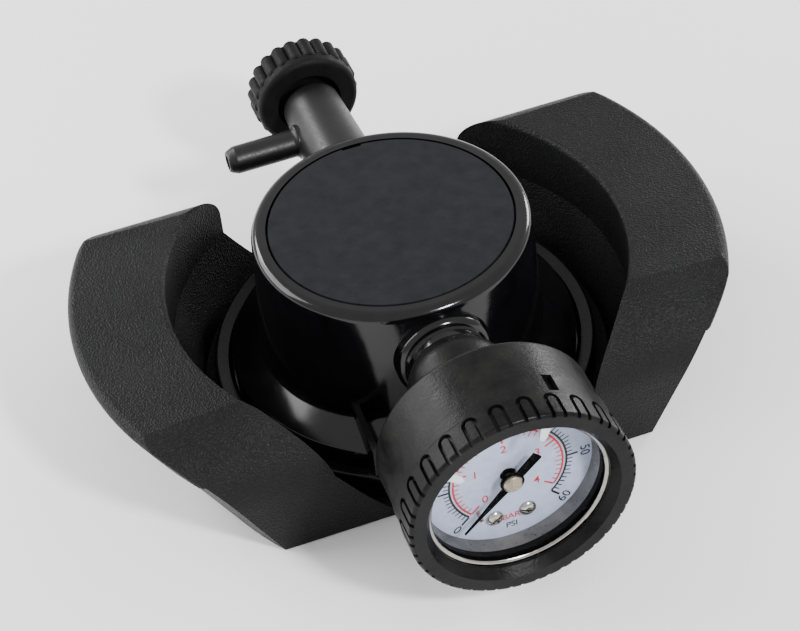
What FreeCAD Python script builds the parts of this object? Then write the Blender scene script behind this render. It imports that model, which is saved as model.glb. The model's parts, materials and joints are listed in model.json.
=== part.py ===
import FreeCAD, Part
import math
import os

os.makedirs("parts", exist_ok=True)

# All sizes in millimetres.  Z is up, z = 0 is the face that bears on the filter lid,
# the turning axis of the handle is x = y = 0, the gauge looks along -Y, the relief valve along +Y.

# Handle
HANDLE_HEIGHT = 37.6
HANDLE_HALF_DEPTH = 47.9
FOOT_ARC_RADIUS = 87.9
FOOT_ARC_OFFSET = 23.9
WING_TOP_RADIUS = 83.2
FLARE_TOP = 34.8
CORNER_ARC = ((75.9, 34.9), (68.0, 43.4), (57.5, 48.3))
LEDGE_HEIGHT = 27.0
LEDGE_STEP = 0.9
FRONT_SHOULDER_RADIUS = 21.0
REAR_SHOULDER_RADIUS = 11.5
SHOULDER_TOP = 38.0
BOWL_RADIUS = 58.4
BOWL_STRAIGHT_BOTTOM = 20.0
FLOOR_RADIUS = 52.4
FLOOR_HEIGHT = 3.2
HUB_RADIUS = 25.0
HUB_HEIGHT = 12.0
WING_WALL = 3.4
RIB_ANGLES = (-27, -9, 9, 27)
RIB_THICKNESS = 2.6

# Threaded insert, washers and retaining ring
STUD_BORE_RADIUS = 14.0
INSERT_RADIUS = 19.6
INSERT_HEIGHT = 14.0
INSERT_FLANGE_RADIUS = 22.0
WASHER_HEIGHT = 1.6
WASHER_RADII = (20.4, 29.0)
THRUST_RADII = (41.0, 46.5)
THRUST_TOP = 4.4
RUNNING_GAP = 0.05
FOOT_RADIUS = 47.0
FOOT_TOP = 6.2
RETAINER_TOP = 10.4
RETAINER_RADIUS = 49.3

# Manifold drum
FLANGE_RADIUS = 44.4
FLANGE_TOP = 12.9
DRUM_FOOT_RADIUS = 36.3
DRUM_FOOT_HEIGHT = 18.3
DRUM_RADIUS = 35.05
DRUM_TOP = 51.25
RIM_FILLET = 2.35
CAP_RADIUS = 31.05
CAP_SEAT = 48.4
POCKET_RADIUS = 29.0
POCKET_FLOOR = 24.0
HOLLOW_TOP = 20.0
BOSS_RADIUS = 17.0
BOSS_BOTTOM = 15.2
SOCKET_RADIUS = 12.1
SOCKET_TOP = 25.5
PORT_RADIUS = 3.0
SEAL_HEIGHT = 20.0
FIN_OFFSET = 22.0
FIN_THICKNESS = 1.6

# Common height of the gauge and valve axes
AXIS_HEIGHT = 36.2

# Gauge, measured outward from the hub axis
NECK_RADIUS = 10.4
NECK_END = 40.0
STEM_RADIUS = 6.6
CUP_REAR = 62.0
CUP_HUB_RADIUS = 12.9
CUP_RADIUS = 27.0
SEAM = 74.3
CUP_BORE = 24.35
CUP_END = 84.2
BEZEL_SEAT = 25.5
BEZEL_RADIUS = 27.35
GRIP_RADIUS = 27.75
GRIP_START = 81.4
BEZEL_FRONT = 88.6
OPENING_RADIUS = 22.1
FLUTES = 26
FLUTE_WIDTH = 3.9
FLUTE_DEPTH = 1.0
BAR_WIDTH = 1.9
DIAL_FACE = 78.0
DIAL_RADIUS = 23.5
DIAL_OPENING = 20.8
LENS_REAR = 83.2
LENS_THICKNESS = 1.2
CASE_RING_FRONT = 85.3
ZERO_ANGLE = 225.0
MARKER_ANGLES = (73.0, 136.0)
POINTER_REAR = 80.6
TUBE_RADIUS = 16.4
PINION_RADIUS = 1.2
SECTOR_RADIUS = 10.8
SECTOR_DIRECTION = 62.0

# Relief valve, measured outward from the hub axis
VALVE_NECK_END = 69.4
VALVE_NECK_RADII = (9.3, 7.9)
VALVE_BORE = 4.0
SEAT = 40.5
BARB_POSITION = 56.0
BARB_RADIUS = 3.75
BARB_TIP = 27.6
KNOB_REAR = 70.3
KNOB_FRONT = 80.8
KNOB_RADIUS = 14.2
KNOB_LOBES = 22
LOBE_RADIUS = 1.95

ORIGIN = FreeCAD.Vector(0, 0, 0)
X = FreeCAD.Vector(1, 0, 0)
Y = FreeCAD.Vector(0, 1, 0)
Z = FreeCAD.Vector(0, 0, 1)


def wire(place, start, steps):
    """Closed wire through the steps; a step of two points is an arc by way of the first."""
    edges = []
    here = start
    for step in list(steps) + [start]:
        if isinstance(step[0], tuple):
            middle, end = step
            edges.append(Part.Arc(place(*here), place(*middle), place(*end)).toShape())
        else:
            end = step
            if end != here:
                edges.append(Part.makeLine(place(*here), place(*end)))
        here = end
    return Part.Wire(edges)


def turned(start, *steps):
    """Solid turned about Z from an outline of (radius, height) points."""
    outline = wire(lambda r, h: FreeCAD.Vector(r, 0, h), start, steps)
    return Part.Face(outline).revolve(ORIGIN, Z, 360)


def plate(bottom, top, start, *steps):
    """Flat plate whose outline lies in XY, between two heights."""
    outline = wire(lambda x, y: FreeCAD.Vector(x, y, bottom), start, steps)
    return Part.Face(outline).extrude(FreeCAD.Vector(0, 0, top - bottom))


def ring(inner, outer, bottom, top):
    return turned((inner, bottom), (outer, bottom), (outer, top), (inner, top))


def rod(radius, bottom, top, x=0.0, y=0.0):
    return Part.makeCylinder(radius, top - bottom, FreeCAD.Vector(x, y, bottom), Z)


def box(x0, x1, y0, y1, z0, z1):
    return Part.makeBox(x1 - x0, y1 - y0, z1 - z0, FreeCAD.Vector(x0, y0, z0))


def torus(major, minor, height):
    return Part.makeTorus(major, minor, FreeCAD.Vector(0, 0, height), Z)


def turned_copies(shape, count, first=0.0):
    copies = []
    for index in range(count):
        copy = shape.copy()
        copy.rotate(ORIGIN, Z, first + index * 360.0 / count)
        copies.append(copy)
    return copies


def polar(radius, angle):
    return radius * math.cos(math.radians(angle)), radius * math.sin(math.radians(angle))


def to_gauge(shape):
    """Local Z becomes -Y at the gauge axis; local Y becomes up."""
    shape.rotate(ORIGIN, X, 90)
    shape.translate(FreeCAD.Vector(0, 0, AXIS_HEIGHT))
    return shape


def to_valve(shape):
    """Local Z becomes +Y at the valve axis; local X stays."""
    shape.rotate(ORIGIN, X, -90)
    shape.translate(FreeCAD.Vector(0, 0, AXIS_HEIGHT))
    return shape


def save(name, shape):
    solids = shape.Solids
    result = solids[0] if len(solids) == 1 else Part.makeCompound(solids)
    result.exportStep("parts/" + name + ".step")


# ---------------------------------------------------------------- handle

def shoulder_prism(inset):
    """Front, back and shoulders of the handle, as a bar along X."""
    half = HANDLE_HALF_DEPTH - inset
    above = SHOULDER_TOP + 20
    steps = []
    for side, corner in ((-1, FRONT_SHOULDER_RADIUS), (1, REAR_SHOULDER_RADIUS)):
        radius = corner - inset
        spring = SHOULDER_TOP - corner
        centre = side * (HANDLE_HALF_DEPTH - corner)
        bend = radius * math.sqrt(0.5)
        rise = [
            (side * half, spring),
            ((centre + side * bend, spring + bend), (centre, spring + radius)),
            (centre, above),
        ]
        steps.append(rise)
    front, rear = steps
    rear_fall = [rear[2], (rear[1][1][0], rear[1][1][1]), (rear[1][0], rear[0])]
    outline = wire(lambda y, z: FreeCAD.Vector(-90, y, z), (-half, -1), front + rear_fall + [(half, -1)])
    return Part.Face(outline).extrude(FreeCAD.Vector(180, 0, 0))


def wing_wall(bottom, top, inset):
    """Both flared outer walls: round at the top, flatter toward the foot."""
    sides = []
    for side in (-1, 1):
        circles = []
        for height in (bottom, top):
            share = height / FLARE_TOP
            radius = FOOT_ARC_RADIUS + (WING_TOP_RADIUS - FOOT_ARC_RADIUS) * share - inset
            centre = FreeCAD.Vector(side * FOOT_ARC_OFFSET * (share - 1), 0, height)
            circles.append(Part.Wire(Part.makeCircle(radius, centre, Z)))
        sides.append(Part.makeLoft(circles, True, True))
    return sides[0].common(sides[1])


def wing_crown():
    return turned(
        (0, FLARE_TOP),
        (WING_TOP_RADIUS, FLARE_TOP),
        ((WING_TOP_RADIUS - 0.5, HANDLE_HEIGHT - 1.1), (WING_TOP_RADIUS - 2.3, HANDLE_HEIGHT - 0.35)),
        (BOWL_RADIUS, HANDLE_HEIGHT),
        (0, HANDLE_HEIGHT),
    )


def corner_trims():
    """What is taken off the four corners of the wings to round them in plan."""
    start, middle, end = CORNER_ARC
    beyond = 52
    trims = []
    for side_x in (-1, 1):
        for side_y in (-1, 1):
            def place(x, y, side_x=side_x, side_y=side_y):
                return FreeCAD.Vector(side_x * x, side_y * y, 4)
            outline = wire(place, start, [(middle, end), (end[0], beyond), (95, beyond), (95, start[1])])
            trims.append(Part.Face(outline).extrude(FreeCAD.Vector(0, 0, 40)))
    return trims


def bowl():
    space = turned(
        (0, FLOOR_HEIGHT),
        (FLOOR_RADIUS, FLOOR_HEIGHT),
        (BOWL_RADIUS, BOWL_STRAIGHT_BOTTOM),
        (BOWL_RADIUS, HANDLE_HEIGHT - 1.4),
        ((BOWL_RADIUS + 0.4, HANDLE_HEIGHT - 0.45), (BOWL_RADIUS + 1.5, HANDLE_HEIGHT)),
        (BOWL_RADIUS + 1.5, 60),
        (0, 60),
    )
    return space.cut(rod(HUB_RADIUS, 0, HUB_HEIGHT))


def wing_pocket():
    """Space cored out of both wings from below, with radial ribs left standing."""
    ceiling = HANDLE_HEIGHT - WING_WALL
    bowl_wall = turned(
        (0, -2),
        (FLOOR_RADIUS + 2, -2),
        (FLOOR_RADIUS + 2, 0),
        (BOWL_RADIUS + WING_WALL, BOWL_STRAIGHT_BOTTOM),
        (BOWL_RADIUS + WING_WALL, 60),
        (0, 60),
    )
    pocket = wing_wall(-1, ceiling, WING_WALL).common(shoulder_prism(WING_WALL)).cut(bowl_wall)
    ribs = []
    for side in (0, 180):
        for angle in RIB_ANGLES:
            rib = box(FLOOR_RADIUS, 90, -RIB_THICKNESS / 2, RIB_THICKNESS / 2, -2, 40)
            rib.rotate(ORIGIN, Z, side + angle)
            ribs.append(rib)
    return pocket.cut(ribs)


def winged_handle():
    lower = wing_wall(0, LEDGE_HEIGHT, LEDGE_STEP)
    upper = wing_wall(LEDGE_HEIGHT, FLARE_TOP, 0)
    blank = lower.fuse([upper, wing_crown()]).common(shoulder_prism(0.0))
    insert_hole = rod(INSERT_RADIUS, -1, HUB_HEIGHT + 1)
    washer_recess = rod(WASHER_RADII[1], -1, WASHER_HEIGHT)
    return blank.cut(corner_trims() + [bowl(), wing_pocket(), insert_hole, washer_recess])


def threaded_insert():
    return turned(
        (STUD_BORE_RADIUS, 0),
        (INSERT_RADIUS, 0),
        (INSERT_RADIUS, HUB_HEIGHT),
        (INSERT_FLANGE_RADIUS, HUB_HEIGHT),
        (INSERT_FLANGE_RADIUS, INSERT_HEIGHT - 0.5),
        (INSERT_FLANGE_RADIUS - 0.5, INSERT_HEIGHT),
        (STUD_BORE_RADIUS + 1, INSERT_HEIGHT),
        (STUD_BORE_RADIUS, INSERT_HEIGHT - 1),
    )


def retaining_ring():
    lip = FLANGE_RADIUS + 0.4
    return turned(
        (FOOT_RADIUS + RUNNING_GAP, FLOOR_HEIGHT),
        (RETAINER_RADIUS, FLOOR_HEIGHT),
        (RETAINER_RADIUS, RETAINER_TOP - 0.8),
        ((RETAINER_RADIUS - 0.25, RETAINER_TOP - 0.2), (RETAINER_RADIUS - 0.8, RETAINER_TOP)),
        (lip + 1.0, RETAINER_TOP - 0.6),
        (lip, RETAINER_TOP - 1.4),
        (lip, FOOT_TOP + 0.4),
        (FOOT_RADIUS + RUNNING_GAP, FOOT_TOP + 0.4),
    )


# ---------------------------------------------------------------- manifold

def drum():
    rim = DRUM_TOP - RIM_FILLET
    bend = RIM_FILLET * (1 - math.sqrt(0.5))
    return turned(
        (0, HOLLOW_TOP),
        (30.0, HOLLOW_TOP),
        (33.0, 15.6),
        (40.0, 10.6),
        (40.0, THRUST_TOP + RUNNING_GAP),
        (FOOT_RADIUS, THRUST_TOP + RUNNING_GAP),
        (FOOT_RADIUS, FOOT_TOP),
        (FLANGE_RADIUS, FOOT_TOP),
        (FLANGE_RADIUS, FLANGE_TOP - 0.6),
        ((FLANGE_RADIUS - 0.15, FLANGE_TOP - 0.1), (FLANGE_RADIUS - 0.7, FLANGE_TOP + 0.4)),
        (DRUM_FOOT_RADIUS + 1.2, DRUM_FOOT_HEIGHT - 0.8),
        ((DRUM_FOOT_RADIUS + 0.3, DRUM_FOOT_HEIGHT + 0.2), (DRUM_FOOT_RADIUS, DRUM_FOOT_HEIGHT + 1.6)),
        (DRUM_RADIUS, rim),
        ((DRUM_RADIUS - bend, DRUM_TOP - bend), (DRUM_RADIUS - RIM_FILLET, DRUM_TOP)),
        (CAP_RADIUS + 0.15, DRUM_TOP),
        (CAP_RADIUS + 0.15, CAP_SEAT),
        (POCKET_RADIUS, CAP_SEAT),
        (POCKET_RADIUS, POCKET_FLOOR),
        (0, POCKET_FLOOR),
    )


def gauge_neck():
    return to_gauge(turned(
        (0, 0),
        (NECK_RADIUS + 1.9, 0),
        (NECK_RADIUS + 1.9, 36.0),
        ((NECK_RADIUS + 1.4, 37.0), (NECK_RADIUS + 0.4, 37.6)),
        (NECK_RADIUS, 38.2),
        (NECK_RADIUS, NECK_END),
        (0, NECK_END),
    ))


def valve_neck():
    root, end = VALVE_NECK_RADII
    return to_valve(turned(
        (0, 0),
        (root + 1.2, 0),
        (root + 1.2, 33.6),
        ((root + 0.35, 34.7), (root, 37.0)),
        (end, VALVE_NECK_END - 1.0),
        (end - 0.7, VALVE_NECK_END),
        (0, VALVE_NECK_END),
    ))


def bleed_barb():
    barb = turned(
        (0, 0),
        (BARB_RADIUS + 0.9, 0),
        (BARB_RADIUS + 0.9, 8.3),
        ((BARB_RADIUS + 0.25, 8.8), (BARB_RADIUS, 9.8)),
        (BARB_RADIUS, BARB_TIP - 2.2),
        (BARB_RADIUS - 0.7, BARB_TIP - 0.5),
        (BARB_RADIUS - 1.1, BARB_TIP),
        (0, BARB_TIP),
    )
    barb.rotate(ORIGIN, Y, -90)
    barb.translate(FreeCAD.Vector(0, BARB_POSITION, AXIS_HEIGHT))
    return barb


def fins():
    outline = wire(
        lambda y, z: FreeCAD.Vector(-FIN_OFFSET - FIN_THICKNESS / 2, y, z),
        (-26.0, 14.0),
        ((-26.0, 22.4), (-29.2, 22.1), (-44.0, 19.6), (-44.0, RETAINER_TOP + 1.0),
         (-38.0, RETAINER_TOP + 1.0)),
    )
    left = Part.Face(outline).extrude(FreeCAD.Vector(FIN_THICKNESS, 0, 0))
    right = left.mirror(ORIGIN, X)
    return [left, right]


def manifold_bores():
    cross = Part.makeCylinder(PORT_RADIUS, 30 + SEAT, FreeCAD.Vector(0, -30, AXIS_HEIGHT), Y)
    return [
        rod(SOCKET_RADIUS, BOSS_BOTTOM - 1, SOCKET_TOP),
        rod(SOCKET_RADIUS + 2.2, SEAL_HEIGHT - 1.2, SEAL_HEIGHT + 1.2),
        rod(PORT_RADIUS, SOCKET_TOP - 1, AXIS_HEIGHT),
        cross,
        to_gauge(rod(STEM_RADIUS, 28, NECK_END + 1)),
        to_valve(rod(VALVE_BORE, SEAT, VALVE_NECK_END + 1)),
        Part.makeCylinder(2.0, BARB_TIP + 1, FreeCAD.Vector(0, BARB_POSITION, AXIS_HEIGHT), X * -1),
    ]


def manifold_body():
    core = rod(BOSS_RADIUS, BOSS_BOTTOM, AXIS_HEIGHT)
    cross_tube = Part.makeCylinder(11.4, 62, FreeCAD.Vector(0, -31, AXIS_HEIGHT), Y)
    outside = gauge_neck().fuse([valve_neck(), bleed_barb()])
    outside = outside.cut(rod(DRUM_RADIUS - 2, 0, 90))
    body = drum().fuse([core, cross_tube, outside] + fins())
    return body.removeSplitter().cut(manifold_bores())


def cap_disc():
    disc = turned(
        (0, CAP_SEAT),
        (CAP_RADIUS, CAP_SEAT),
        (CAP_RADIUS, DRUM_TOP - 1.2),
        (CAP_RADIUS - 0.5, DRUM_TOP),
        (0, DRUM_TOP),
    )
    skirt = ring(26.6, POCKET_RADIUS - 0.1, CAP_SEAT - 0.3, CAP_SEAT + 0.5)
    pry_notch = box(-2.6, 2.6, CAP_RADIUS - 1.1, CAP_RADIUS + 1, DRUM_TOP - 1.4, DRUM_TOP + 1)
    return disc.fuse(skirt).cut(pry_notch)


def stud_seal():
    return torus(SOCKET_RADIUS + 1.1, 1.05, SEAL_HEIGHT)


# ---------------------------------------------------------------- gauge guard and bezel

def gauge_cup():
    return to_gauge(turned(
        (STEM_RADIUS, NECK_END),
        (NECK_RADIUS, NECK_END),
        (NECK_RADIUS + 0.2, NECK_END + 0.8),
        ((NECK_RADIUS + 1.7, NECK_END + 2.9), (CUP_HUB_RADIUS, NECK_END + 6.5)),
        (CUP_HUB_RADIUS, CUP_REAR - 0.8),
        (CUP_HUB_RADIUS + 0.5, CUP_REAR),
        (CUP_RADIUS - 1.4, CUP_REAR),
        ((CUP_RADIUS - 0.4, CUP_REAR + 0.4), (CUP_RADIUS, CUP_REAR + 1.4)),
        (CUP_RADIUS, SEAM),
        (BEZEL_SEAT, SEAM),
        (BEZEL_SEAT, 81.0),
        (BEZEL_SEAT - 0.5, 81.2),
        (BEZEL_SEAT - 0.5, 82.2),
        (BEZEL_SEAT, 82.4),
        (BEZEL_SEAT, CUP_END),
        (CUP_BORE, CUP_END),
        (CUP_BORE, 65.0),
        (8.4, 65.0),
        (8.4, NECK_END + 1),
        (STEM_RADIUS, NECK_END + 1),
    ))


def rounded_bar(width, inner, outer, start):
    """Block along the gauge axis on the bezel's +X side, round at its rear end."""
    straight = box(inner, outer, -width / 2, width / 2, start + width / 2, BEZEL_FRONT + 1)
    end = Part.makeCylinder(width / 2, outer - inner, FreeCAD.Vector(inner, 0, start + width / 2), X)
    return straight.fuse(end)


def flute():
    """Cutter for one finger pocket, which leaves a narrow bar standing in its middle."""
    floor = GRIP_RADIUS - FLUTE_DEPTH
    pocket = rounded_bar(FLUTE_WIDTH, floor, GRIP_RADIUS + 2, GRIP_START)
    return pocket.cut(rounded_bar(BAR_WIDTH, floor - 1, GRIP_RADIUS + 3, GRIP_START + 1.0))


def bezel_ring():
    bore = BEZEL_SEAT + RUNNING_GAP
    ring_body = turned(
        (bore, SEAM + 0.3),
        (BEZEL_RADIUS, SEAM + 0.3),
        (BEZEL_RADIUS, GRIP_START - 0.6),
        (GRIP_RADIUS, GRIP_START),
        (GRIP_RADIUS, BEZEL_FRONT - 1.1),
        ((GRIP_RADIUS - 0.3, BEZEL_FRONT - 0.3), (GRIP_RADIUS - 1.1, BEZEL_FRONT)),
        (OPENING_RADIUS + 1.7, BEZEL_FRONT),
        (OPENING_RADIUS + 0.1, CASE_RING_FRONT + 1.0),
        (OPENING_RADIUS, CASE_RING_FRONT + 0.8),
        (OPENING_RADIUS, CASE_RING_FRONT + 0.2),
        (bore, CASE_RING_FRONT + 0.2),
        (bore, 82.1),
        (bore - 0.35, 81.95),
        (bore - 0.35, 81.45),
        (bore, 81.3),
    )
    slot = box(BEZEL_SEAT - 1, GRIP_RADIUS + 1, -1.35, 1.35, SEAM, 80.0)
    slot.rotate(ORIGIN, Z, 64.5)
    flutes = turned_copies(flute(), FLUTES, 90.0 + 180.0 / FLUTES)
    return to_gauge(ring_body.cut(flutes + [slot]))


def marker(angle):
    """Arrow-shaped marker that hangs inward from the bezel lip over the dial."""
    lip = OPENING_RADIUS + 0.6
    arrow = plate(
        CASE_RING_FRONT + 1.1, CASE_RING_FRONT + 2.3,
        (lip, -1.2), (20.2, -0.95), (18.9, -0.5),
        (18.9, 0.5), (20.2, 0.95), (lip, 1.2),
    )
    arrow.rotate(ORIGIN, Z, angle)
    return arrow


def markers():
    arrows = [marker(angle) for angle in MARKER_ANGLES]
    lip_cut = turned(
        (OPENING_RADIUS + 1.7, BEZEL_FRONT),
        (OPENING_RADIUS + 0.1, CASE_RING_FRONT + 1.0),
        (40, CASE_RING_FRONT + 1.0),
        (40, BEZEL_FRONT),
    )
    return to_gauge(Part.makeCompound([arrow.cut(lip_cut) for arrow in arrows]))


# ---------------------------------------------------------------- gauge

def gauge_case():
    return to_gauge(turned(
        (7.0, 65.1), (24.25, 65.1), (24.25, LENS_REAR), (23.65, LENS_REAR),
        (23.65, 65.8), (7.0, 65.8)))


def dial_spacer():
    return to_gauge(turned(
        (DIAL_OPENING, DIAL_FACE + 0.1), (23.6, DIAL_FACE + 0.1), (23.6, 81.6),
        (DIAL_OPENING + 0.5, 81.6)))


def lens_gasket():
    return to_gauge(ring(DIAL_OPENING + 0.5, 23.6, 81.6, LENS_REAR))


def lens():
    return to_gauge(rod(24.2, LENS_REAR, LENS_REAR + LENS_THICKNESS))


def case_ring():
    rear = LENS_REAR + LENS_THICKNESS
    return to_gauge(turned(
        (21.5, rear), (25.1, rear), (25.1, CASE_RING_FRONT - 0.3), (24.8, CASE_RING_FRONT),
        (22.0, CASE_RING_FRONT),
        ((21.5, CASE_RING_FRONT - 0.15), (21.2, CASE_RING_FRONT - 0.45))))


def gauge_socket():
    hexagon = [polar(8.0, 30 + 60 * index) for index in range(6)]
    stem = rod(STEM_RADIUS, 29, NECK_END + 1.8)
    grip = plate(NECK_END + 1.8, 64.6, hexagon[0], *hexagon[1:])
    collar = rod(7.0, 64.6, 66.4)
    block = box(-5.2, 5.2, -18.4, 2.0, 66.4, 69.0)
    root = box(-5.2, 5.2, -18.4, -11.2, 66.4, 75.4)
    shoulder = [rod(1.5, 75.3, 77.5, x, -13.3) for x in (-4.1, 4.1)]
    body = stem.fuse([grip, collar, block, root] + shoulder)
    port = rod(1.6, 28, 67.6)
    return to_gauge(body.removeSplitter().cut(port))


def socket_seal():
    return to_gauge(ring(STEM_RADIUS, 8.2, NECK_END + 1, NECK_END + 1.8))


def bourdon_tube():
    """Flat-sided C tube that starts in the socket block and ends short of a full turn."""
    section = wire(
        lambda r, a: FreeCAD.Vector(r, 0, a),
        (TUBE_RADIUS - 0.9, 69.6),
        (((TUBE_RADIUS, 68.9), (TUBE_RADIUS + 0.9, 69.6)),
         (TUBE_RADIUS + 0.9, 73.2),
         ((TUBE_RADIUS, 73.9), (TUBE_RADIUS - 0.9, 73.2))),
    )
    tube = Part.Face(section).revolve(ORIGIN, Z, 264)
    tube.rotate(ORIGIN, Z, -71.5)
    return to_gauge(tube.cut(box(-5.2, 5.2, -18.4, -11.2, 66.4, 75.4)))


def tube_tip():
    end = plate(70.2, 72.6, (TUBE_RADIUS - 2.2, 0.02), (TUBE_RADIUS + 1.2, 0.02),
                (TUBE_RADIUS + 0.6, 2.6), (TUBE_RADIUS - 2.2, 2.6))
    end.rotate(ORIGIN, Z, 192.5)
    return to_gauge(end)


def movement_outline(bottom, top):
    tall = plate(bottom, top, (-4.4, -10.6), (4.4, -10.6), (4.4, 0.0), (9.6, 8.4),
                 ((9.0, 12.2), (5.0, 12.6)), (-2.6, 4.0), (-4.4, 2.0))
    return tall


def sector_pivot():
    return polar(PINION_RADIUS + SECTOR_RADIUS, SECTOR_DIRECTION)


def movement_rear_plate():
    x, y = sector_pivot()
    body = movement_outline(69.0, 69.8)
    return to_gauge(body.cut([rod(0.55, 60, 80), rod(0.55, 60, 80, x, y)]))


def movement_front_plate():
    x, y = sector_pivot()
    body = movement_outline(75.5, 76.3)
    return to_gauge(body.cut([rod(0.85, 60, 80), rod(0.55, 60, 80, x, y)]))


def movement_pillars():
    spots = ((-3.0, -9.2), (3.0, -9.2))
    return to_gauge(Part.makeCompound([rod(1.0, 69.8, 75.5, x, y) for x, y in spots]))


def dial_plate():
    disc = rod(DIAL_RADIUS, DIAL_FACE - 0.5, DIAL_FACE)
    return to_gauge(disc.cut(rod(2.0, 70, 80)))


def dial_screws():
    screws = []
    for x in (-4.1, 4.1):
        head = turned((0, DIAL_FACE), (2.1, DIAL_FACE), (2.05, DIAL_FACE + 0.5),
                      ((1.5, DIAL_FACE + 0.95), (0.7, DIAL_FACE + 1.1)), (0, DIAL_FACE + 1.1))
        slot = box(-3, 3, -0.25, 0.25, DIAL_FACE + 0.6, DIAL_FACE + 2)
        slot.rotate(ORIGIN, Z, 35 if x < 0 else -20)
        screw = head.cut(slot)
        screw.translate(FreeCAD.Vector(x, -13.3, 0))
        screws.append(screw)
    return to_gauge(Part.makeCompound(screws))


def stop_pin():
    x, y = polar(12.6, ZERO_ANGLE + 5.2)
    return to_gauge(rod(0.5, DIAL_FACE, DIAL_FACE + 3.4, x, y))


def pointer():
    """Blade along local +X before it is turned to the zero mark."""
    rear, front = POINTER_REAR, POINTER_REAR + 0.5
    blade = plate(rear, front, (2.0, -0.95), (9.0, -0.55), (12.0, -0.3), (17.6, -0.12),
                  (17.6, 0.12), (12.0, 0.3), (9.0, 0.55), (2.0, 0.95))
    tail = plate(rear, front, (-9.2, -1.25), (-2.0, -1.05), (-2.0, 1.05), (-9.2, 1.25))
    eye = ring(1.0, 2.9, rear, front)
    body = eye.fuse([blade, tail]).removeSplitter()
    body.rotate(ORIGIN, Z, ZERO_ANGLE)
    return to_gauge(body)


def pointer_hub():
    return to_gauge(turned(
        (0, POINTER_REAR - 1.2), (1.0, POINTER_REAR - 1.2), (1.0, POINTER_REAR + 0.5),
        (2.5, POINTER_REAR + 0.5), (2.4, POINTER_REAR + 1.0),
        (1.9, POINTER_REAR + 1.4), (0, POINTER_REAR + 1.4)))


def pinion_arbor():
    shaft = rod(0.5, 69.0, 75.5).fuse(rod(0.8, 75.4, POINTER_REAR - 1.2))
    gear = rod(PINION_RADIUS - 0.05, 71.4, 73.2)
    gaps = [box(PINION_RADIUS - 0.35, 3, -0.12, 0.12, 71, 74)]
    gear = gear.cut(turned_copies(gaps[0], 10))
    return to_gauge(shaft.fuse(gear))


def sector_gear():
    """Toothed segment; its pivot is the local origin and the teeth face the pinion."""
    outer = SECTOR_RADIUS - 0.05
    toothed = rod(outer, 71.8, 72.8)
    gap = box(outer - 0.3, outer + 1, -0.12, 0.12, 71, 74)
    gaps = []
    for index in range(-16, 17):
        copy = gap.copy()
        copy.rotate(ORIGIN, Z, index * 2.0)
        gaps.append(copy)
    wedge = plate(71, 74, (-2.0, 0), (14, -10.0), (14, 10.0))
    window = plate(71, 74, (4.0, -1.2), (7.8, -3.4), (7.8, 3.4), (4.0, 1.2))
    body = toothed.common(wedge).cut(window).fuse(rod(1.9, 71.8, 72.8))
    body = body.cut(gaps + [rod(0.5, 71, 74)])
    body.rotate(ORIGIN, Z, SECTOR_DIRECTION + 180)
    x, y = sector_pivot()
    body.translate(FreeCAD.Vector(x, y, 0))
    return to_gauge(body)


def sector_arbor():
    x, y = sector_pivot()
    return to_gauge(rod(0.5, 69.0, 76.2, x, y))


def hairspring():
    """Flat spiral around the pinion arbor, held by the front plate."""
    points = []
    for index in range(0, 73):
        radius = 1.2 + 2.4 * index / 72.0
        x, y = polar(radius, index * 20.0)
        points.append(FreeCAD.Vector(x, y, 74.2))
    spine = Part.BSplineCurve()
    spine.interpolate(points)
    start = points[0]
    profile = Part.makePolygon([
        start + FreeCAD.Vector(-0.08, 0, 0), start + FreeCAD.Vector(0.08, 0, 0),
        start + FreeCAD.Vector(0.08, 0, 0.5), start + FreeCAD.Vector(-0.08, 0, 0.5),
        start + FreeCAD.Vector(-0.08, 0, 0)])
    strip = Part.Wire(spine.toShape()).makePipeShell([profile], True, True)
    return to_gauge(strip)


# ---------------------------------------------------------------- relief valve

def valve_stem():
    return to_valve(turned(
        (0, 44.0), (1.5, 44.0), (1.5, 57.0), (VALVE_BORE - RUNNING_GAP, 57.6),
        (VALVE_BORE - RUNNING_GAP, 58.6), (3.2, 58.6), (3.2, 59.6),
        (VALVE_BORE - RUNNING_GAP, 59.6), (VALVE_BORE - RUNNING_GAP, 76.0), (0, 76.0)))


def stem_seal():
    return to_valve(torus(3.575, 0.375, 59.1))


def valve_plug():
    return to_valve(turned(
        (0, SEAT + 0.3), (2.6, SEAT + 0.3), (3.6, SEAT + 1.3), (3.6, SEAT + 2.0),
        (3.2, SEAT + 2.0), (3.2, SEAT + 3.0), (3.6, SEAT + 3.0), (3.6, 47.4),
        (1.56, 47.4), (1.56, 43.8), (0, 43.8)))


def plug_seal():
    return to_valve(torus(3.575, 0.375, SEAT + 2.5))


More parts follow.
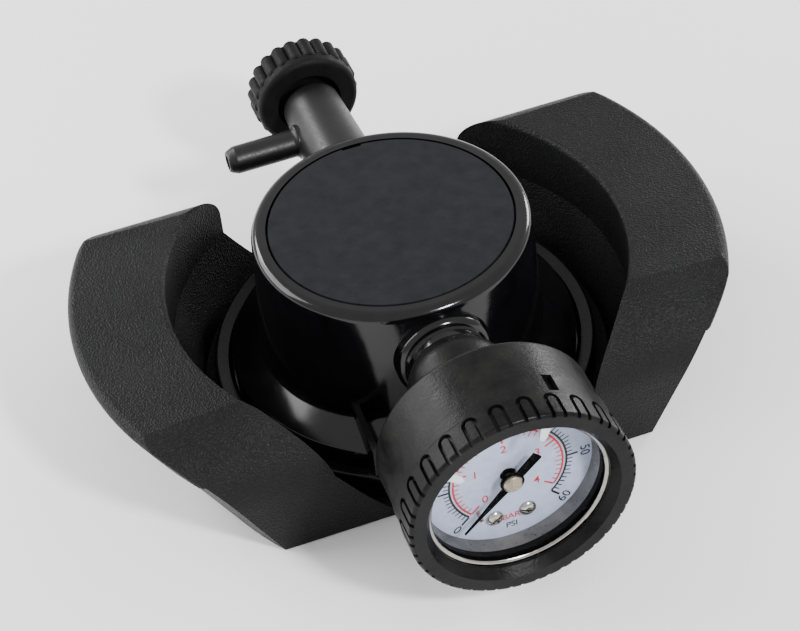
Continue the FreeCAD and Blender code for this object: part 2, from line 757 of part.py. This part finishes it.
def relief_knob():
    core = turned(
        (VALVE_BORE - RUNNING_GAP, KNOB_REAR + 3.6),
        (8.3, KNOB_REAR + 3.6),
        (8.9, KNOB_REAR),
        (KNOB_RADIUS - 2.0, KNOB_REAR),
        ((KNOB_RADIUS - 0.8, KNOB_REAR + 0.4), (KNOB_RADIUS - 0.2, KNOB_REAR + 1.6)),
        (KNOB_RADIUS, KNOB_REAR + 3.0),
        (KNOB_RADIUS - 1.0, KNOB_REAR + 3.4),
        (KNOB_RADIUS - 1.0, KNOB_FRONT),
        (5.0, KNOB_FRONT),
        (5.0, KNOB_FRONT - 2.4),
        (0, KNOB_FRONT - 2.4),
        (0, 76.0),
        (VALVE_BORE - RUNNING_GAP, 76.0),
    )
    reach = KNOB_RADIUS - 1.5
    lobe = turned(
        (0, KNOB_REAR + 2.6),
        (LOBE_RADIUS - 0.3, KNOB_REAR + 2.6),
        (LOBE_RADIUS, KNOB_REAR + 3.2),
        (LOBE_RADIUS, KNOB_FRONT - 1.2),
        ((LOBE_RADIUS - 0.3, KNOB_FRONT - 0.3), (LOBE_RADIUS - 1.1, KNOB_FRONT)),
        (0, KNOB_FRONT),
    )
    lobe.translate(FreeCAD.Vector(reach, 0, 0))
    body = core.fuse(turned_copies(lobe, KNOB_LOBES, 3.0))
    return to_valve(body.cut(rod(1.3, 70, 90)))


def knob_screw():
    head = turned((0, KNOB_FRONT - 2.4), (3.2, KNOB_FRONT - 2.4), (3.1, KNOB_FRONT - 1.3),
                  ((2.2, KNOB_FRONT - 0.6), (1.0, KNOB_FRONT - 0.4)), (0, KNOB_FRONT - 0.4))
    recess = [box(-1.6, 1.6, -0.35, 0.35, KNOB_FRONT - 1.6, KNOB_FRONT)]
    cross = recess[0].copy()
    cross.rotate(ORIGIN, Z, 90)
    shank = rod(1.3, 76.0, KNOB_FRONT - 2.4)
    return to_valve(head.cut(recess + [cross]).fuse(shank))


NODES = {
    "winged_handle": winged_handle,
    "threaded_insert": threaded_insert,
    "bearing_washer": lambda: ring(WASHER_RADII[0], WASHER_RADII[1], 0, WASHER_HEIGHT),
    "thrust_washer": lambda: ring(THRUST_RADII[0], THRUST_RADII[1], FLOOR_HEIGHT, THRUST_TOP),
    "retaining_ring": retaining_ring,
    "manifold_body": manifold_body,
    "cap_disc": cap_disc,
    "stud_seal": stud_seal,
    "gauge_cup": gauge_cup,
    "bezel_ring": bezel_ring,
    "markers": markers,
    "gauge_case": gauge_case,
    "dial_spacer": dial_spacer,
    "lens_gasket": lens_gasket,
    "lens": lens,
    "case_ring": case_ring,
    "gauge_socket": gauge_socket,
    "socket_seal": socket_seal,
    "bourdon_tube": bourdon_tube,
    "tube_tip": tube_tip,
    "movement_rear_plate": movement_rear_plate,
    "movement_front_plate": movement_front_plate,
    "movement_pillars": movement_pillars,
    "dial_plate": dial_plate,
    "dial_screws": dial_screws,
    "stop_pin": stop_pin,
    "pointer": pointer,
    "pointer_hub": pointer_hub,
    "pinion_arbor": pinion_arbor,
    "sector_gear": sector_gear,
    "sector_arbor": sector_arbor,
    "hairspring": hairspring,
    "valve_stem": valve_stem,
    "stem_seal": stem_seal,
    "valve_plug": valve_plug,
    "plug_seal": plug_seal,
    "relief_knob": relief_knob,
    "knob_screw": knob_screw,
}

for node, build in NODES.items():
    save(node, build())
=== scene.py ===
import json
import math

import bmesh
import bpy
from mathutils import Matrix, Vector


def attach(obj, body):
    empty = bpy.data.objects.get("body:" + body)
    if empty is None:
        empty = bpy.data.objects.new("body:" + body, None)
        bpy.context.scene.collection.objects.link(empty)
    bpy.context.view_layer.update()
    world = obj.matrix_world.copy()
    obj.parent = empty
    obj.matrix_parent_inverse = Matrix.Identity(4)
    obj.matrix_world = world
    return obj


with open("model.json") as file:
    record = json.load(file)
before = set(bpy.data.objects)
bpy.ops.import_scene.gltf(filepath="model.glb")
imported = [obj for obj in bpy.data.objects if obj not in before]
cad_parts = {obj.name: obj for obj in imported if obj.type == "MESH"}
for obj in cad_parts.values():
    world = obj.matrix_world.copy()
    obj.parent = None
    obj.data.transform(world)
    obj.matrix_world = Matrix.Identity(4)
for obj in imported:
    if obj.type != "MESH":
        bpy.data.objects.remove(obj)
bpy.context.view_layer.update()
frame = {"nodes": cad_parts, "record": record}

# Sizes are in metres and angles in degrees, except for the lens and sensor.
# Z is up, and the gauge looks along -Y.
MM = 0.001
AXIS_HEIGHT = 36.2 * MM
DRUM_RADIUS = 35.05 * MM

# The dial: its face lies in the plane Y = -DIAL_FACE, and the print stands INK_LIFT in front of it.
DIAL_FACE = 78.0 * MM
INK_LIFT = 0.03 * MM
ZERO_ANGLE = 225.0
FULL_PSI = 60
FULL_BAR = 4
DEGREES_PER_PSI = 4.5
PSI_PER_BAR = 14.5
DEGREES_PER_BAR = DEGREES_PER_PSI * PSI_PER_BAR
ARC_STEPS = 72

# Radii of the printed scales: the arc, the foot of the ticks, and the tips of long, middle and short ticks.
PSI_ARC = (14.2 * MM, 14.75 * MM)
PSI_FOOT = 14.7 * MM
PSI_TIPS = (17.3 * MM, 16.6 * MM, 16.0 * MM)
PSI_WIDTHS = (0.60 * MM, 0.34 * MM)
BAR_ARC = (13.3 * MM, 13.8 * MM)
BAR_FOOT = 13.4 * MM
BAR_TIPS = (10.7 * MM, 11.6 * MM, 12.1 * MM)
BAR_WIDTHS = (0.50 * MM, 0.30 * MM)

# Radii and heights of the printed figures.
PSI_FIGURES = (19.0 * MM, 3.4 * MM)
BAR_FIGURES = (8.5 * MM, 3.3 * MM)
UNIT_HEIGHT = 2.5 * MM
UNIT_ANGLE = 270
BAR_UNIT_RADIUS = 14.4 * MM
PSI_UNIT_RADIUS = 17.3 * MM
STROKE_SWELL = 0.03 * MM

# The floor is a disc of rings that widen outwards, just below the object.
FLOOR_DROP = 0.4 * MM
FLOOR_SIDES = 48
FLOOR_RINGS = 13
FLOOR_FIRST_RING = 50 * MM
FLOOR_GROWTH = 1.65

# The camera stands left of the gauge and above it, and is rolled a little.
# Its lens and sensor are in millimetres.
CAMERA_PLACE = (-119.5 * MM, -447.5 * MM, 462.1 * MM)
CAMERA_AZIMUTH = -14.903
CAMERA_ELEVATION = 43.790
CAMERA_ROLL = -6.624
CAMERA_LENS = 112.5
CAMERA_SENSOR = 36.0


# ---------------------------------------------------------------- materials

def new_material(name, colour, roughness, metallic=0.0, specular=0.5):
    """New material and its Principled shader, set to plain values."""
    made = bpy.data.materials.new(name)
    made.use_nodes = True
    made.diffuse_color = (*colour, 1.0)
    shader = made.node_tree.nodes["Principled BSDF"]
    shader.inputs["Base Color"].default_value = (*colour, 1.0)
    shader.inputs["Roughness"].default_value = roughness
    shader.inputs["Metallic"].default_value = metallic
    shader.inputs["Specular IOR Level"].default_value = specular
    return made, shader


def add(made, kind, **values):
    """New shader node; each value goes to the input of that name, or else to the node's own setting."""
    node = made.node_tree.nodes.new(kind)
    for key, value in values.items():
        if key in node.inputs:
            node.inputs[key].default_value = value
        else:
            setattr(node, key, value)
    return node


def join(made, output, socket):
    made.node_tree.links.new(output, socket)


def place(made):
    """Place on the object, in metres."""
    return add(made, "ShaderNodeTexCoord").outputs["Object"]


def noise_at(made, scale, detail=3.0, roughness=0.55):
    """Noise of 0..1 fixed to the object."""
    node = add(made, "ShaderNodeTexNoise", Scale=scale, Detail=detail, Roughness=roughness)
    join(made, place(made), node.inputs["Vector"])
    return node.outputs["Fac"]


def spread(made, value, low, high, from_low=0.3, from_high=0.7):
    """Value stretched from its own range to low..high."""
    node = add(made, "ShaderNodeMapRange")
    node.inputs["From Min"].default_value = from_low
    node.inputs["From Max"].default_value = from_high
    node.inputs["To Min"].default_value = low
    node.inputs["To Max"].default_value = high
    join(made, value, node.inputs["Value"])
    return node.outputs["Result"]


def tint(made, shader, value, dark, light):
    """Colours the shader from dark to light by the value."""
    ramp = add(made, "ShaderNodeValToRGB")
    ramp.color_ramp.elements[0].position = 0.3
    ramp.color_ramp.elements[0].color = (*dark, 1.0)
    ramp.color_ramp.elements[1].position = 0.72
    ramp.color_ramp.elements[1].color = (*light, 1.0)
    join(made, value, ramp.inputs["Fac"])
    join(made, ramp.outputs["Color"], shader.inputs["Base Color"])


def bumped(made, shader, layers):
    """Stacks bumps; each layer is (height, strength, distance)."""
    normal = None
    for height, strength, distance in layers:
        node = add(made, "ShaderNodeBump", Strength=strength, Distance=distance)
        join(made, height, node.inputs["Height"])
        if normal is not None:
            join(made, normal, node.inputs["Normal"])
        normal = node.outputs["Normal"]
    join(made, normal, shader.inputs["Normal"])


def leather_grain(made):
    """Pebbled mould texture: rounded cells of about half a millimetre, broken up by noise."""
    warp = add(made, "ShaderNodeTexNoise", Scale=1200.0, Detail=2.0)
    join(made, place(made), warp.inputs["Vector"])
    shift = add(made, "ShaderNodeVectorMath", operation="MULTIPLY_ADD")
    join(made, warp.outputs["Color"], shift.inputs[0])
    shift.inputs[1].default_value = (0.0005, 0.0005, 0.0005)
    join(made, place(made), shift.inputs[2])
    cells = add(made, "ShaderNodeTexVoronoi", feature="SMOOTH_F1", Scale=2100.0, Smoothness=0.25)
    join(made, shift.outputs["Vector"], cells.inputs["Vector"])
    return cells.outputs["Distance"]


def handle_plastic():
    """Black moulded plastic with a leather grain and slow patches."""
    made, shader = new_material("handle_plastic", (0.006, 0.006, 0.0065), 0.5, specular=0.15)
    grain = leather_grain(made)
    patches = noise_at(made, 45.0, 4.0)
    fine = noise_at(made, 2600.0, 2.0)
    tint(made, shader, patches, (0.0035, 0.0035, 0.004), (0.008, 0.008, 0.0085))
    join(made, spread(made, grain, 0.26, 0.5, 0.1, 0.6), shader.inputs["Roughness"])
    bumped(made, shader, [(grain, 0.85, 0.00022), (fine, 0.6, 0.00010)])
    return made


def moulded_plastic(name, colour, roughness, ripple, gloss=0.2):
    """Smooth moulded plastic with slow waviness, faint dust and fine scuffs."""
    made, shader = new_material(name, colour, roughness, specular=gloss)
    waviness = noise_at(made, 70.0, 1.0)
    scuffs = noise_at(made, 1400.0, 4.0, 0.7)
    light = tuple(min(1.0, c * 1.8 + 0.0005) for c in colour)
    tint(made, shader, noise_at(made, 260.0, 3.0), colour, light)
    join(made, spread(made, scuffs, roughness * 0.75, roughness * 1.35), shader.inputs["Roughness"])
    bumped(made, shader, [(waviness, ripple, 0.0012), (scuffs, 0.04, 0.0001)])
    return made


def manifold_plastic():
    """Polished black on the drum, going over to satin on the relief valve's neck and tail."""
    made, shader = new_material("manifold_plastic", (0.0014, 0.0014, 0.0018), 0.12, specular=0.4)
    along = add(made, "ShaderNodeSeparateXYZ")
    join(made, place(made), along.inputs["Vector"])
    polish = spread(made, along.outputs["Y"], 0.12, 0.40, DRUM_RADIUS, DRUM_RADIUS + 3 * MM)
    scuffs = noise_at(made, 1400.0, 4.0, 0.7)
    worn = add(made, "ShaderNodeMath", operation="MULTIPLY")
    join(made, polish, worn.inputs[0])
    join(made, spread(made, scuffs, 0.75, 1.35), worn.inputs[1])
    join(made, worn.outputs["Value"], shader.inputs["Roughness"])
    tint(made, shader, noise_at(made, 260.0, 3.0), (0.0014, 0.0014, 0.0018), (0.0032, 0.0032, 0.0038))
    bumped(made, shader, [(noise_at(made, 70.0, 1.0), 0.22, 0.0012), (scuffs, 0.06, 0.0001)])
    return made


def turned_plastic():
    """Semi-gloss plastic of the gauge guard, with the fine rings left by a turned mould."""
    made, shader = new_material("guard_plastic", (0.02, 0.02, 0.022), 0.36, specular=0.11)
    bands = add(made, "ShaderNodeTexWave", wave_type="BANDS", bands_direction="Y", Scale=210.0,
                Distortion=0.9, Detail=2.0)
    join(made, place(made), bands.inputs["Vector"])
    cloud = noise_at(made, 130.0, 5.0, 0.65)
    tint(made, shader, cloud, (0.003, 0.003, 0.0033), (0.010, 0.0097, 0.0092))
    join(made, spread(made, cloud, 0.22, 0.48), shader.inputs["Roughness"])
    dents = noise_at(made, 240.0, 2.0)
    bumped(made, shader, [(bands.outputs["Fac"], 0.03, 0.0001), (dents, 0.12, 0.0006),
                          (noise_at(made, 1500.0), 0.3, 0.0002)])
    return made


def turned_metal(name, colour, roughness):
    """Metal with turning lines and slight tarnish."""
    made, shader = new_material(name, colour, roughness, metallic=1.0)
    lines = add(made, "ShaderNodeTexWave", wave_type="BANDS", bands_direction="Y", Scale=900.0,
                Distortion=1.5, Detail=3.0)
    join(made, place(made), lines.inputs["Vector"])
    dark = tuple(c * 0.72 for c in colour)
    tint(made, shader, noise_at(made, 350.0, 4.0), dark, colour)
    wear = spread(made, noise_at(made, 800.0), roughness * 0.7, roughness * 1.5)
    join(made, wear, shader.inputs["Roughness"])
    bumped(made, shader, [(lines.outputs["Fac"], 0.08, 0.0001)])
    return made


def rubber():
    """Dull black rubber with a fine speckle."""
    made, shader = new_material("seal_rubber", (0.003, 0.003, 0.003), 0.6, specular=0.15)
    speck = noise_at(made, 2200.0, 3.0)
    tint(made, shader, speck, (0.001, 0.001, 0.001), (0.004, 0.004, 0.004))
    bumped(made, shader, [(speck, 0.2, 0.0001)])
    return made


def enamel(name, dark, light, roughness, gloss):
    """Sprayed enamel with faint mottling."""
    made, shader = new_material(name, light, roughness, specular=gloss)
    mottle = noise_at(made, 420.0, 4.0, 0.6)
    tint(made, shader, mottle, dark, light)
    join(made, spread(made, mottle, roughness * 0.8, roughness * 1.2), shader.inputs["Roughness"])
    bumped(made, shader, [(noise_at(made, 2400.0), 0.06, 0.0001)])
    return made


def clear_plastic(name, colour, alpha, roughness, gloss):
    """See-through plastic with a slight haze; alpha is how much of it shows."""
    made, shader = new_material(name, colour, roughness, specular=gloss)
    shader.inputs["Alpha"].default_value = alpha
    shader.inputs["IOR"].default_value = 1.55
    haze = noise_at(made, 300.0, 4.0)
    join(made, spread(made, haze, roughness * 0.6, roughness * 1.6), shader.inputs["Roughness"])
    bumped(made, shader, [(haze, 0.03, 0.0002)])
    return made


MATERIALS = {
    "handle_plastic": handle_plastic(),
    "manifold_plastic": manifold_plastic(),
    "cap_plastic": moulded_plastic("cap_plastic", (0.0050, 0.0050, 0.0068), 0.34, 0.16),
    "guard_plastic": turned_plastic(),
    "ring_plastic": moulded_plastic("ring_plastic", (0.0016, 0.0016, 0.0018), 0.26, 0.1, 0.22),
    "knob_plastic": moulded_plastic("knob_plastic", (0.003, 0.003, 0.0033), 0.56, 0.15, 0.13),
    "stem_plastic": moulded_plastic("stem_plastic", (0.003, 0.003, 0.0033), 0.4, 0.1),
    "washer_plastic": moulded_plastic("washer_plastic", (0.55, 0.54, 0.50), 0.45, 0.1),
    "marker_plastic": clear_plastic("marker_plastic", (0.70, 0.73, 0.78), 0.8, 0.08, 0.9),
    "lens_plastic": clear_plastic("lens_plastic", (0.02, 0.02, 0.022), 0.02, 0.04, 0.02),
    "seal_rubber": rubber(),
    "brass": turned_metal("brass", (0.42, 0.36, 0.27), 0.3),
    "bronze": turned_metal("bronze", (0.48, 0.30, 0.16), 0.35),
    "nickel": turned_metal("nickel", (0.52, 0.50, 0.46), 0.2),
    "case_steel": turned_metal("case_steel", (0.27, 0.26, 0.23), 0.34),
    "ring_steel": turned_metal("ring_steel", (0.36, 0.35, 0.32), 0.2),
    "dial_white": enamel("dial_white", (0.38, 0.43, 0.60), (0.47, 0.52, 0.68), 0.45, 0.3),
    "pointer_black": enamel("pointer_black", (0.0008, 0.0008, 0.0008), (0.002, 0.002, 0.002), 0.5, 0.03),
}


# ---------------------------------------------------------------- the dial's print

def ink(name, colour):
    """Printing ink, slightly uneven."""
    made, shader = new_material(name, colour, 0.5)
    dark = tuple(c * 0.7 for c in colour)
    tint(made, shader, noise_at(made, 1500.0, 2.0), dark, colour)
    return made


def print_piece(name, data, material):
    """Piece of the dial's print, from its mesh."""
    piece = bpy.data.objects.new(name, data)
    bpy.context.scene.collection.objects.link(piece)
    data.materials.clear()
    data.materials.append(material)
    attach(piece, "manifold")


def dial_point(radius, angle):
    """Point of the print, from its place on the dial as seen from the front."""
    turn = math.radians(angle)
    return Vector((radius * math.cos(turn), -DIAL_FACE - INK_LIFT, AXIS_HEIGHT + radius * math.sin(turn)))


def dial_arc(mesh, inner, outer, start, end):
    """Band between two radii."""
    rows = []
    for index in range(ARC_STEPS + 1):
        angle = start + (end - start) * index / ARC_STEPS
        rows.append((mesh.verts.new(dial_point(inner, angle)), mesh.verts.new(dial_point(outer, angle))))
    for here, there in zip(rows, rows[1:]):
        mesh.faces.new((here[0], here[1], there[1], there[0]))


def dial_tick(mesh, angle, inner, outer, width):
    """Straight bar along a radius."""
    turn = math.radians(angle)
    side = Vector((-math.sin(turn), 0.0, math.cos(turn))) * width / 2
    corners = [dial_point(inner, angle) - side, dial_point(inner, angle) + side,
               dial_point(outer, angle) + side, dial_point(outer, angle) - side]
    mesh.faces.new([mesh.verts.new(corner) for corner in corners])


def dial_scale(name, ticks, per_tick, arc, foot, tips, widths, material):
    """Arc with its ticks: every tenth is long and wide, and every fifth between is middling."""
    long_tip, middle_tip, short_tip = tips
    wide, fine = widths
    mesh = bmesh.new()
    dial_arc(mesh, *arc, ZERO_ANGLE, ZERO_ANGLE - ticks * per_tick)
    for tick in range(ticks + 1):
        major = tick % 10 == 0
        tip = long_tip if major else middle_tip if tick % 5 == 0 else short_tip
        inner, outer = sorted((foot, tip))
        dial_tick(mesh, ZERO_ANGLE - tick * per_tick, inner, outer, wide if major else fine)
    data = bpy.data.meshes.new(name)
    mesh.to_mesh(data)
    mesh.free()
    print_piece(name, data, material)


def dial_text(name, words, radius, angle, height, turn, material):
    """Figures or letters centred at a place on the dial, and turned in its plane."""
    curve = bpy.data.curves.new(name, "FONT")
    curve.body = words
    curve.size = height
    curve.align_x = "CENTER"
    curve.align_y = "CENTER"
    curve.resolution_u = 4
    curve.offset = STROKE_SWELL
    text = bpy.data.objects.new(name, curve)
    bpy.context.scene.collection.objects.link(text)
    upright = Matrix.Rotation(math.radians(90), 4, "X") @ Matrix.Rotation(math.radians(turn), 4, "Z")
    text.matrix_world = Matrix.Translation(dial_point(radius, angle)) @ upright
    bpy.context.view_layer.update()
    flat = bpy.data.meshes.new_from_object(text)
    flat.transform(text.matrix_world)
    bpy.data.objects.remove(text)
    print_piece(name, flat, material)


def psi_turn(angle):
    """Turn of a psi figure: its top faces outwards, or inwards on the lower half of the dial."""
    outward = angle - 90
    lower_half = math.sin(math.radians(angle)) < -0.1
    return outward + 180 if lower_half else outward


def dial_print():
    """Black psi scale outside, red bar scale inside, with their figures and units."""
    black = ink("ink_black", (0.004, 0.004, 0.006))
    red = ink("ink_red", (0.60, 0.02, 0.03))
    dial_scale("psi_scale", FULL_PSI, DEGREES_PER_PSI, PSI_ARC, PSI_FOOT, PSI_TIPS, PSI_WIDTHS, black)
    dial_scale("bar_scale", FULL_BAR * 10, DEGREES_PER_BAR / 10, BAR_ARC, BAR_FOOT, BAR_TIPS, BAR_WIDTHS, red)
    radius, height = PSI_FIGURES
    for psi in range(0, FULL_PSI + 1, 10):
        angle = ZERO_ANGLE - psi * DEGREES_PER_PSI
        dial_text(f"psi_{psi}", str(psi), radius, angle, height, psi_turn(angle), black)
    radius, height = BAR_FIGURES
    for bar in range(FULL_BAR + 1):
        dial_text(f"bar_{bar}", str(bar), radius, ZERO_ANGLE - bar * DEGREES_PER_BAR, height, 0, red)
    dial_text("unit_bar", "BAR", BAR_UNIT_RADIUS, UNIT_ANGLE, UNIT_HEIGHT, 0, red)
    dial_text("unit_psi", "PSI", PSI_UNIT_RADIUS, UNIT_ANGLE, UNIT_HEIGHT, 0, black)


# Each CAD piece takes the material of its slot.
for entry in frame["record"]["subparts"]:
    node = frame["nodes"][entry["node"]]
    node.data.materials.clear()
    node.data.materials.append(MATERIALS[entry["material_slot"]])

dial_print()


# ---------------------------------------------------------------- stage, lights and camera

def floor_ring(mesh, radius):
    """Vertices of one ring of the floor."""
    turns = [math.tau * side / FLOOR_SIDES for side in range(FLOOR_SIDES)]
    return [mesh.verts.new((radius * math.cos(turn), radius * math.sin(turn), -FLOOR_DROP)) for turn in turns]


def floor_piece():
    """Wide, pale floor."""
    mesh = bmesh.new()
    rings = [floor_ring(mesh, FLOOR_FIRST_RING * FLOOR_GROWTH ** index) for index in range(FLOOR_RINGS)]
    mesh.faces.new(rings[0])
    for inner, outer in zip(rings, rings[1:]):
        for side in range(FLOOR_SIDES):
            after = (side + 1) % FLOOR_SIDES
            mesh.faces.new((inner[side], outer[side], outer[after], inner[after]))
    data = bpy.data.meshes.new("floor")
    mesh.to_mesh(data)
    mesh.free()
    floor = bpy.data.objects.new("floor", data)
    bpy.context.scene.collection.objects.link(floor)
    made, shader = new_material("floor_paper", (0.92, 0.92, 0.92), 0.8)
    tint(made, shader, noise_at(made, 6.0, 2.0), (0.95, 0.95, 0.95), (0.98, 0.98, 0.98))
    floor.data.materials.append(made)


def area_light(name, stand, target, size, power):
    """Soft light of a width and height, aimed at a point."""
    data = bpy.data.lights.new(name, "AREA")
    data.shape = "RECTANGLE"
    data.size, data.size_y = size
    data.energy = power
    light = bpy.data.objects.new(name, data)
    bpy.context.scene.collection.objects.link(light)
    way = Vector(target) - Vector(stand)
    light.location = stand
    light.rotation_euler = way.to_track_quat("-Z", "Y").to_euler()


def studio():
    """White surroundings with two lights behind on the left, one on the right and a small one in front."""
    world = bpy.data.worlds.new("studio")
    world.use_nodes = True
    background = world.node_tree.nodes["Background"]
    background.inputs["Color"].default_value = (1.0, 1.0, 1.0, 1.0)
    background.inputs["Strength"].default_value = 1.0
    bpy.context.scene.world = world
    area_light("left_key", stand=(-0.36, 0.60, 0.42), target=(0, 0, 0.03), size=(0.20, 0.24), power=2.6)
    area_light("left_fill", stand=(-0.60, 0.34, 0.40), target=(0, 0, 0.03), size=(0.55, 0.50), power=6.0)
    area_light("right_key", stand=(0.66, 0.36, 0.24), target=(0.03, 0, 0.02), size=(0.25, 0.20), power=3.5)
    area_light("front_key", stand=(0.25, -0.62, 0.62), target=(0, 0, 0.02), size=(0.10, 0.10), power=7.5)


def camera():
    """Camera that looks down at the gauge's side of the object."""
    data = bpy.data.cameras.new("camera")
    data.sensor_width = CAMERA_SENSOR
    data.lens = CAMERA_LENS
    data.clip_start = 0.01
    data.clip_end = 50.0
    seen = bpy.data.objects.new("camera", data)
    bpy.context.scene.collection.objects.link(seen)
    turn = (Matrix.Rotation(math.radians(CAMERA_AZIMUTH), 4, "Z")
            @ Matrix.Rotation(math.radians(90 - CAMERA_ELEVATION), 4, "X")
            @ Matrix.Rotation(math.radians(CAMERA_ROLL), 4, "Z"))
    seen.matrix_world = Matrix.Translation(CAMERA_PLACE) @ turn
    bpy.context.scene.camera = seen


floor_piece()
studio()
camera()
